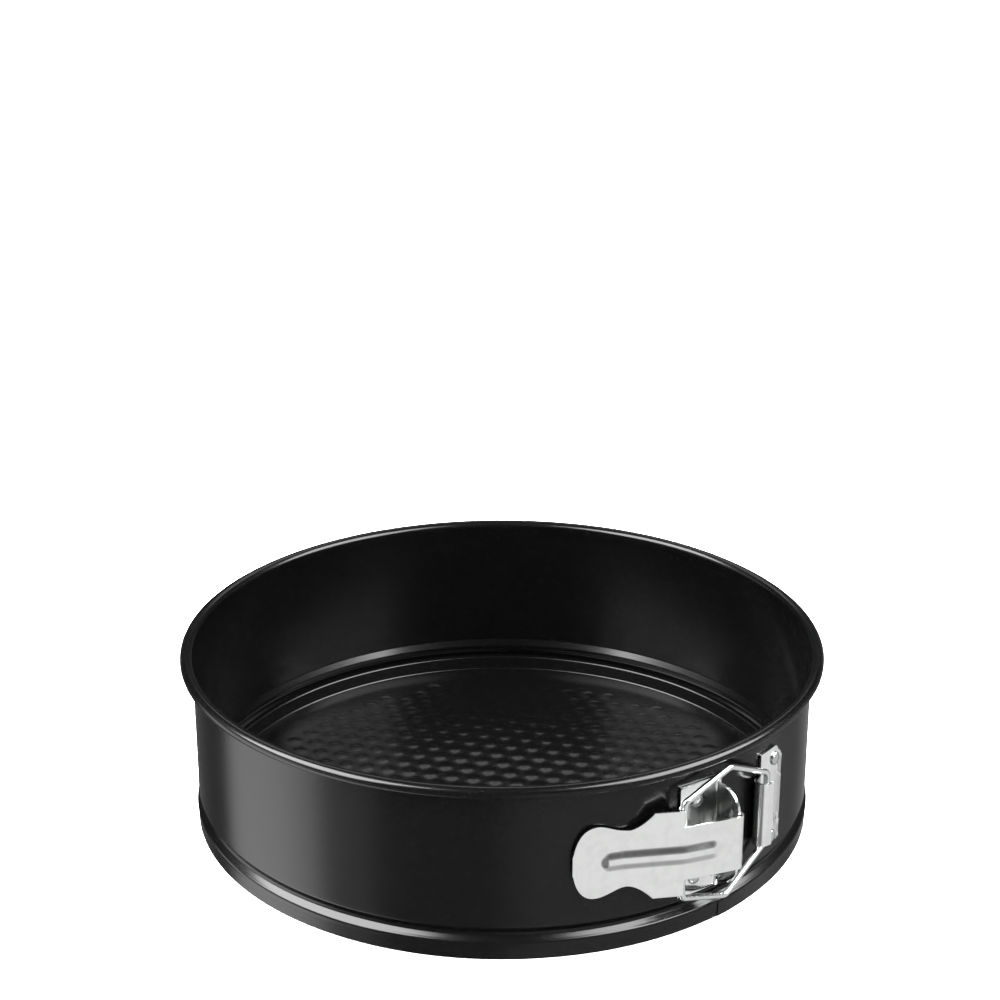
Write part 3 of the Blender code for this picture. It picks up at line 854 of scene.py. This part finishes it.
@dataclass
class Lever:
    """The pressed lever, curled on the bracket's bar, with two ears curled round the wire."""

    sheet: float = 0.8
    pivot: tuple[float, float] = (-2.5, 130.8)
    pivot_r: float = 2.5
    curl_turn: float = 205.0
    wire_axis: tuple[float, float] = (-22.0, 124.1)
    wire_r: float = 2.2
    corners: tuple[tuple[float, float], ...] = ((-41.8, 114.7), (-52.8, 110.0), (-62.5, 106.0))
    corner_r: float = 9.0
    tongue_half: float = 10.5
    wide_half: float = 16.8
    shoulder: float = 36.8
    waist: tuple[float, float] = (46.0, 11.0)
    lobe: tuple[float, float] = (57.4, 14.0)
    tip: float = 66.2
    rib: tuple[float, float, float, float] = (11.0, 56.5, 4.4, 1.35)
    edge: float = 0.3

    def plan(self) -> tuple[PlanPath, float, float, float]:
        """Lay out the plan path of the outer face.

        Returns:
            The path, how far along it the lever's right edge and its ears lie, and the ears' first angle.
        """
        across, out = self.corners[0]
        slope = math.atan2(out - self.wire_axis[1] - self.wire_r, across - self.wire_axis[0] + self.wire_r)
        top = slope + math.radians(270.0)
        bend = Vector(self.wire_axis) + Vector((math.cos(top), math.sin(top))) * self.wire_r
        offset = bend - Vector(self.pivot)
        touch = math.degrees(math.atan2(offset.y, offset.x) - math.acos(self.pivot_r / offset.length)) % 360.0
        curl = arc(self.pivot, (self.pivot_r, self.pivot_r), touch - self.curl_turn, touch, 26)
        bent = [Vector(corner) for corner in self.corners]
        tail = rounded([curl[-1], bend] + bent, self.corner_r, 6)
        path = PlanPath(curl + tail[1:], 1.0)
        edge = math.radians(self.curl_turn - touch) * self.pivot_r
        step = path.lengths[len(curl) - 1] + (bend - curl[-1]).length
        return path, edge, step, math.degrees(top) - 360.0

    def half_height(self, along: float) -> float:
        """Half the blank's height at a distance from the lever's right edge, the tongue uncut."""
        if along <= self.shoulder:
            return self.wide_half
        if along <= self.waist[0]:
            share = (self.waist[0] - along) / (self.waist[0] - self.shoulder)
            return self.waist[1] + (self.wide_half - self.waist[1]) * share ** 1.7
        if along <= self.lobe[0]:
            share = (along - self.waist[0]) / (self.lobe[0] - self.waist[0])
            return self.waist[1] + (self.lobe[1] - self.waist[1]) * smooth(0.0, 1.0, share)
        share = min(1.0, (along - self.lobe[0]) / (self.tip - self.lobe[0]))
        return max(3.6, self.lobe[1] * (1.0 - share ** 2.3) ** 0.48)

    def relief(self, along: float, up: float) -> float:
        """Rise of the pressed rib over the flat face."""
        start, end, half, rise = self.rib
        nearest = min(end - half, max(start + half, along))
        off = math.hypot(along - nearest, up + 0.2)
        return rise * (1.0 - smooth(half - 4.0, half, off))

    def build(self) -> bpy.types.Object:
        """Press the blank, add its ears and finish it."""
        path, edge, step, first = self.plan()
        reaches = (self.shoulder, self.waist[0], self.lobe[0], self.tip - 1.2, self.tip)
        marks = [0.0, edge, step] + [edge + reach for reach in reaches]
        stations = spread(marks, 0.42)

        def outline(along: float) -> float:
            """Half the blank's height with the tongue's sides still on."""
            return self.half_height(max(step, along) - edge)

        sheet = PressedSheet(
            "latch_lever", path, stations,
            [(lambda along: min(self.rib[2] + 0.3, 0.5 * outline(along)), 14),
             (lambda along: min(self.tongue_half, 0.93 * outline(along)), 8), (outline, 5)],
            self.sheet, self.edge, relief=lambda along, up: self.relief(along - edge, up),
            waste=lambda along, up: along < step and up > self.tongue_half)
        lever = sheet.close(sheet.build())
        ears = [self.ear(side, first) for side in (-1.0, 1.0)]
        Bench.pick(lever)
        for ear in ears:
            ear.select_set(True)
        bpy.ops.object.join()
        return Bench.finish(bpy.context.object)

    def ear(self, side: float, first: float) -> bpy.types.Object:
        """One ear: the sheet's shoulder curled right round the wire.

        Args:
            side: 1 for the upper ear, -1 for the lower.
            first: Angle at which it leaves the flat sheet.

        Returns:
            The ear with its thickness.
        """
        low, high = self.tongue_half + 0.45, self.wide_half
        turns = arc(self.wire_axis, (self.wire_r, self.wire_r), first + 2.0, -95.0, 26)
        middle, rows = (low + high) / 2.0, 7

        def place(column: int, row: int) -> Vector:
            """Where a crossing of the curl lies."""
            point = turns[column]
            up = side * middle + (row / (rows - 1) - 0.5) * (high - low)
            return Vector((point.x, -point.y, LATCH_Z + up))

        piece = Bench.blank("ear", len(turns), rows, place)
        axis = Vector((self.wire_axis[0], -self.wire_axis[1], 0.0)) * MM
        Bench.face_out(piece, lambda at: Vector((at.x - axis.x, at.y - axis.y, 0.0)))
        Bench.thicken(piece, self.sheet, 0.12)
        return piece


@dataclass
class Bail:
    """The closed six-sided wire loop between lever and keeper."""

    wire_r: float = 1.2
    at_lever: tuple[float, float, float] = (-22.0, 124.1, 19.0)
    at_bend: tuple[float, float, float] = (-0.3, 124.6, 25.9)
    at_keeper: tuple[float, float, float] = (22.6, 121.3, 14.5)
    fillets: tuple[float, float, float] = (2.2, 4.2, 2.8)

    def path(self) -> list[Vector]:
        """The wire's centre line with rounded corners, as a closed path."""
        upper = list(zip((self.at_lever, self.at_bend, self.at_keeper), self.fillets))
        corners = [(Vector((x, -out, LATCH_Z + up)), radius) for (x, out, up), radius in upper]
        corners += [(Vector((x, -out, LATCH_Z - up)), radius) for (x, out, up), radius in reversed(upper)]
        points = []
        for index, (corner, radius) in enumerate(corners):
            back = corners[index - 1][0] - corner
            ahead = corners[(index + 1) % len(corners)][0] - corner
            half = back.angle(ahead) / 2.0
            back, ahead = back.normalized(), ahead.normalized()
            centre = corner + (back + ahead).normalized() * (radius / math.sin(half))
            reach = radius / math.tan(half)
            first = corner + back * reach - centre
            last = corner + ahead * reach - centre
            points += [centre + first.slerp(last, step / 8.0).normalized() * radius for step in range(9)]
        return points

    def build(self) -> bpy.types.Object:
        """Draw the loop, give it its thickness and turn it into a mesh."""
        bail = Bench.wire("latch_wire", self.path(), closed=True)
        bpy.ops.object.convert(target="CURVE")
        bail = bpy.context.object
        bail.data.bevel_depth = self.wire_r * MM
        bail.data.bevel_resolution = 8
        bpy.ops.object.convert(target="MESH")
        bail = bpy.context.object
        bail.name = "latch_wire"
        bpy.ops.object.mode_set(mode="EDIT")
        bpy.ops.mesh.select_all(action="SELECT")
        bpy.ops.mesh.remove_doubles(threshold=1e-6)
        bpy.ops.mesh.normals_make_consistent(inside=False)
        bpy.ops.object.mode_set(mode="OBJECT")
        return Bench.finish(bail, 60.0)


@dataclass
class Keeper:
    """The riveted plate that folds back over itself as the hook."""

    half: float = 21.0
    hook_half: float = 12.6
    plate: float = 1.0
    span_deg: tuple[float, float] = (17.2, 9.9)
    fold: tuple[float, float] = (19.5, 122.65)
    fold_r: float = 3.3
    lip_x: float = 21.4
    cut: float = 5.0

    def build(self) -> bpy.types.Object:
        """Bend the blank along the wall, round the fold and back as the lip."""
        back_r = WALL_R + SEAT_GAP
        wall = [
            Vector((back_r * math.sin(math.radians(a)), back_r * math.cos(math.radians(a))))
            for a in (self.span_deg[0] - step * 0.8 for step in range(10))]
        fold = arc(self.fold, (self.fold_r, self.fold_r), -98.0, -270.0, 24)
        lip = Vector((self.lip_x, fold[-1].y))
        path = PlanPath(wall + fold + [lip], -1.0)
        plate_end = path.lengths[len(wall) - 1]

        def plate_height(along: float) -> float:
            """Half the plate's height, eased at its right edge."""
            return self.half - max(0.0, 1.5 - along) * 0.8

        def corner_cut(along: float, row: int) -> float:
            """How much is taken off the upper right corner and the lower edge."""
            if along > plate_end:
                return 0.0
            return max(0.0, self.cut - along) * 0.9 if row > 0 else min(6.5, 2.2 + along * 0.35)

        sheet = PressedSheet(
            "keeper_plate", path, spread((0.0, 1.5, self.cut, plate_end, path.length), 0.5),
            [(lambda along: self.hook_half, 10), (plate_height, 8)], self.plate,
            waste=lambda along, up: along > plate_end and up > self.hook_half, trim=corner_cut)
        return sheet.close(sheet.build())


@dataclass
class Rivet:
    """A domed rivet through a plate and the band, with its closed head inside."""

    name: str
    degrees: float
    rise: float
    head_r: float = 2.6
    dome: float = 1.15
    seat: float = 1.2
    tail: float = -0.5

    def profile(self) -> list[Vector]:
        """Half the rivet's section: radius and height over the wall."""
        dome = arc((0.0, self.seat + 0.15), (self.head_r, self.dome), 90.0, 0.0, 9)
        under = [(self.head_r - 0.12, self.seat), (1.2, self.seat), (1.2, self.tail), (2.0, self.tail),
                 (1.9, self.tail - 0.5), (1.4, self.tail - 0.75), (0.0, self.tail - 0.8)]
        return [Vector((p.x, 0.0, p.y)) for p in dome] + [Vector((r, 0.0, h)) for r, h in under]

    def build(self) -> bpy.types.Object:
        """Turn the rivet and set it square to the wall."""
        rivet = Bench.wire(self.name, self.profile())
        Bench.turn(rivet, 32)
        Bench.pick(rivet)
        bpy.ops.object.mode_set(mode="EDIT")
        bpy.ops.mesh.select_all(action="SELECT")
        bpy.ops.mesh.normals_make_consistent(inside=False)
        bpy.ops.object.mode_set(mode="OBJECT")
        place = polar(WALL_R, self.degrees, LATCH_Z + self.rise) * MM
        rivet.matrix_world = (
            Matrix.Translation(place) @ Matrix.Rotation(math.radians(self.degrees), 4, "Z")
            @ Matrix.Rotation(math.radians(90.0), 4, "X"))
        return Bench.finish(rivet, 40.0)


@dataclass(frozen=True)
class Lamp:
    """One soft rectangular lamp: bearing right of the camera, rise and size in metres, watts."""

    name: str
    bearing: float
    rise: float
    away: float
    size: tuple[float, float]
    power: float


@dataclass
class Studio:
    """A white floor, a dark room with a tall panel on each side, and the camera."""

    bearing: float = -40.2
    elevation: float = 26.77
    distance: float = 0.8625
    lens: float = 77.875
    sensor: float = 36.0
    aim: tuple[float, float, float] = (0.0, 0.0, 0.03467)
    aim_left: float = 0.0008
    aim_up: float = 0.08592
    panels: tuple[tuple[float, float], ...] = (
        (-180.0, 0.22), (-136.0, 0.10), (-123.0, 0.12), (-116.0, 2.2), (-100.0, 3.7), (-88.0, 4.8),
        (-74.0, 4.2), (-66.0, 1.3), (-52.0, 1.15), (-43.0, 0.30), (-30.0, 0.22), (-3.0, 0.22), (6.0, 0.70),
        (20.0, 0.9), (44.0, 0.88), (96.0, 0.80), (116.0, 0.85), (124.0, 0.4), (140.0, 0.2), (160.0, 0.4),
        (180.0, 0.22))
    heights: tuple[tuple[float, float], ...] = (
        (0.0, 0.40), (0.07, 0.72), (0.14, 1.0), (0.47, 1.0), (0.56, 0.42), (0.64, 0.16), (0.74, 0.07),
        (1.0, 0.04))
    peak: float = 7.0
    lamps: tuple[Lamp, ...] = (
        Lamp("left_key", -74.0, 46.0, 1.6, (1.4, 1.1), 160.0),
        Lamp("right_key", 74.0, 46.0, 1.6, (1.4, 1.1), 135.0),
        Lamp("back_top", 180.0, 44.0, 1.7, (1.3, 0.5), 5.0))

    def camera(self) -> None:
        """Stand the camera off at the viewing angle, tipped up so that the pan sits low in the frame."""
        turn, rise = math.radians(self.bearing), math.radians(self.elevation)
        away = Vector((math.sin(turn) * math.cos(rise), -math.cos(turn) * math.cos(rise), math.sin(rise)))
        right = Vector((math.cos(turn), math.sin(turn), 0.0))
        up = away.cross(right)
        eye = Vector(self.aim) + away * self.distance
        look = Vector(self.aim) - right * self.aim_left + up * self.aim_up
        data = bpy.data.cameras.new("view")
        data.sensor_width = self.sensor
        data.lens = self.lens
        data.clip_start = 0.01
        data.clip_end = 50.0
        camera = bpy.data.objects.new("view", data)
        bpy.context.scene.collection.objects.link(camera)
        camera.location = eye
        camera.rotation_mode = "QUATERNION"
        camera.rotation_quaternion = (look - eye).to_track_quat("-Z", "Y")
        bpy.context.scene.camera = camera

    def world(self) -> None:
        """Light the room by bearing: what the coated and bright surfaces mirror."""
        world = bpy.data.worlds.new("room")
        bpy.context.scene.world = world
        world.use_nodes = True
        graph = Graph(world.node_tree)
        direction = graph.node("ShaderNodeTexCoord", output="Generated")
        axes = {
            name: graph.node("ShaderNodeSeparateXYZ", inputs={"Vector": direction}, output=name)
            for name in ("X", "Y", "Z")}
        turn = graph.node("ShaderNodeMath", {"operation": "ARCTAN2"}, {0: axes["X"], 1: axes["Y"] * -1.0})
        share = turn * (1.0 / math.tau) + (0.5 - self.bearing / 360.0)
        wrapped = graph.node("ShaderNodeMath", {"operation": "FRACT"}, {0: share})
        stops = [((bearing + 180.0) / 360.0, level / self.peak) for bearing, level in self.panels]
        around = graph.node("ShaderNodeValToRGB", {"stops": stops}, {"Fac": wrapped})
        rise = axes["Z"] * 0.5 + 0.5
        high = graph.node("ShaderNodeValToRGB", {"stops": self.heights}, {"Fac": rise})
        light = graph.node("ShaderNodeBackground", inputs={"Color": around, "Strength": high * self.peak})
        graph.node("ShaderNodeOutputWorld", inputs={"Surface": light})

    def lamp(self, plan: Lamp) -> None:
        """Add one soft lamp aimed at the pan."""
        data = bpy.data.lights.new(plan.name, "AREA")
        data.shape = "RECTANGLE"
        data.size, data.size_y = plan.size
        data.energy = plan.power
        lamp = bpy.data.objects.new(plan.name, data)
        bpy.context.scene.collection.objects.link(lamp)
        turn, lift = math.radians(plan.bearing + self.bearing), math.radians(plan.rise)
        place = Vector((math.sin(turn) * math.cos(lift), -math.cos(turn) * math.cos(lift), math.sin(lift)))
        lamp.location = place * plan.away
        lamp.rotation_mode = "QUATERNION"
        lamp.rotation_quaternion = place.to_track_quat("Z", "Y")
        lamp.visible_camera = False

    def floor(self) -> None:
        """A wide white floor and a pale wall far behind it, which the pan doesn't mirror."""
        Bench.begin()
        bpy.ops.mesh.primitive_plane_add(size=30.0, location=(0.0, 0.0, -0.0002))
        floor = bpy.context.object
        floor.name = "floor"
        bpy.ops.mesh.primitive_uv_sphere_add(segments=48, ring_count=24, radius=14.0)
        wall = bpy.context.object
        wall.name = "backdrop"
        white = bpy.data.materials.new("paper_white")
        white.use_nodes = True
        graph = Graph(white.node_tree)
        shader = graph.node("ShaderNodeBsdfPrincipled", inputs={
            "Base Color": (0.9, 0.9, 0.9, 1.0), "Roughness": 0.9, "Specular IOR Level": 0.0,
            "Emission Color": (1.0, 1.0, 1.0, 1.0), "Emission Strength": 0.72})
        graph.node("ShaderNodeOutputMaterial", inputs={"Surface": shader})
        for piece in (floor, wall):
            piece.data.materials.append(white)
            piece.visible_glossy = False

    def build(self) -> None:
        """Set up camera, room, lamps and floor."""
        self.camera()
        self.world()
        for plan in self.lamps:
            self.lamp(plan)
        self.floor()
        bpy.context.scene.view_settings.view_transform = "Standard"


class SpringformPan:
    """The whole pan: builds each piece, dresses it and seats it on its body."""

    def __init__(self) -> None:
        """Mix the finishes."""
        self.band_coat = NonStick(Coat.BAND).make()
        self.tray_coat = NonStick(Coat.TRAY, roughness=0.2).make()
        self.plate = BrightSteel("bright_plate").make()
        even = (1.0, 1.0, 1.0)
        self.wire = BrightSteel(
            "bright_wire", tint=(0.70, 0.71, 0.71), roughness=0.17, stretch=even, wave=0.00004).make()
        self.rivet = BrightSteel(
            "rivet_steel", tint=(0.50, 0.51, 0.52), roughness=0.27, stretch=even).make()

    @staticmethod
    def dress(piece: bpy.types.Object, material: bpy.types.Material, slot: str, nodes: Sequence[str]) -> None:
        """Give a piece its finish and say which nodes it stands for."""
        piece.data.materials.clear()
        piece.data.materials.append(material)
        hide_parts(*nodes)
        LOG.info("%s stands for %s: %d faces", piece.name, ", ".join(nodes), len(piece.data.polygons))

    def build(self) -> None:
        """Build every piece in order."""
        tray = TrayBase().build()
        self.dress(tray, self.tray_coat, "tray_coating", ["base_plate"])
        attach(tray, "base")

        strip = Band()
        band = strip.build()
        self.dress(band, self.band_coat, "band_coating", ["band_left", "band_right"])
        strip.flex(band)

        for maker, node, body, material, slot in (
                (Bracket(), "latch_bracket", "band", self.plate, "bright_plate"),
                (Lever(), "lever", "lever", self.plate, "bright_plate"),
                (Bail(), "bail", "bail", self.wire, "bright_wire"),
                (Keeper(), "keeper", "band_far", self.plate, "bright_plate")):
            piece = maker.build()
            self.dress(piece, material, slot, [node])
            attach(piece, body)

        for label, side in (("top", 1.0), ("bottom", -1.0)):
            for base, body, degrees, rise in (
                    ("bracket", "band", -6.0, 15.5), ("keeper", "band_far", 14.4, 16.1)):
                node = f"{base}_rivet_{label}"
                piece = Rivet(f"{base}_{label}_rivet", degrees, side * rise).build()
                self.dress(piece, self.rivet, "rivet_steel", [node])
                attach(piece, body)


def main() -> None:
    """Build the pan round its frame."""
    logging.basicConfig(level=logging.INFO, format="%(message)s")
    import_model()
    SpringformPan().build()
    Studio().build()


if __name__ == "__main__":
    main()
